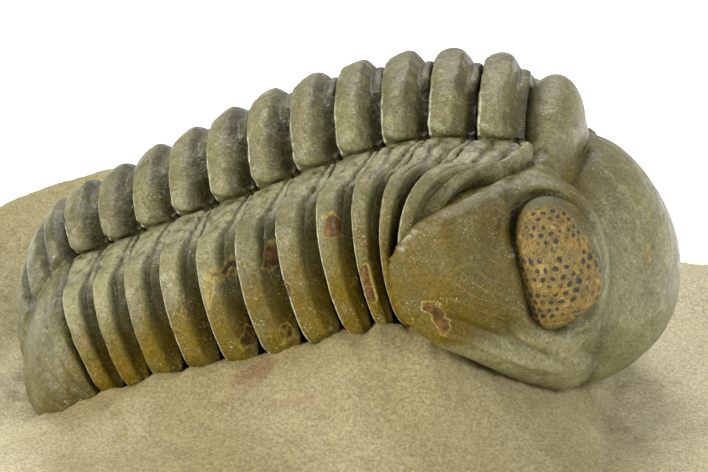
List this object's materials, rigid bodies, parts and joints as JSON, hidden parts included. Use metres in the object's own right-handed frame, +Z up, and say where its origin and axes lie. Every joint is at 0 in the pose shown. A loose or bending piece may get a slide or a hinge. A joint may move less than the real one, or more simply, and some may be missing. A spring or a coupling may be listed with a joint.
{
  "type": "fossil reedops trilobite on matrix",
  "caption": "Semi-enrolled trilobite fossil, ringed back and bulging compound eyes, lying nose-down on a rough limestone matrix with a flat base.",
  "frame": {"origin": "middle of the flat base of the stone, at the bottom centre of the bounding box", "axes": "+X from the tail to the head along the stone's longest side, +Z up, the animal is symmetric about a plane of constant Y"},
  "size_m": [0.056, 0.043, 0.0335],
  "materials": {
    "shell": "satin grey-green calcite shell with ochre patches",
    "eye_surface": "ochre with dark grey lenses",
    "limestone": "rough matt tan limestone"
  },
  "bodies": {
    "root": {"matrix": "limestone", "cephalon": "shell", "eye_right": "eye_surface", "eye_left": "eye_surface", "thorax_segment_01": "shell", "thorax_segment_02": "shell", "thorax_segment_03": "shell", "thorax_segment_04": "shell", "thorax_segment_05": "shell", "thorax_segment_06": "shell", "thorax_segment_07": "shell", "thorax_segment_08": "shell", "thorax_segment_09": "shell", "thorax_segment_10": "shell", "thorax_segment_11": "shell", "pygidium": "shell"}
  },
  "joints": []
}
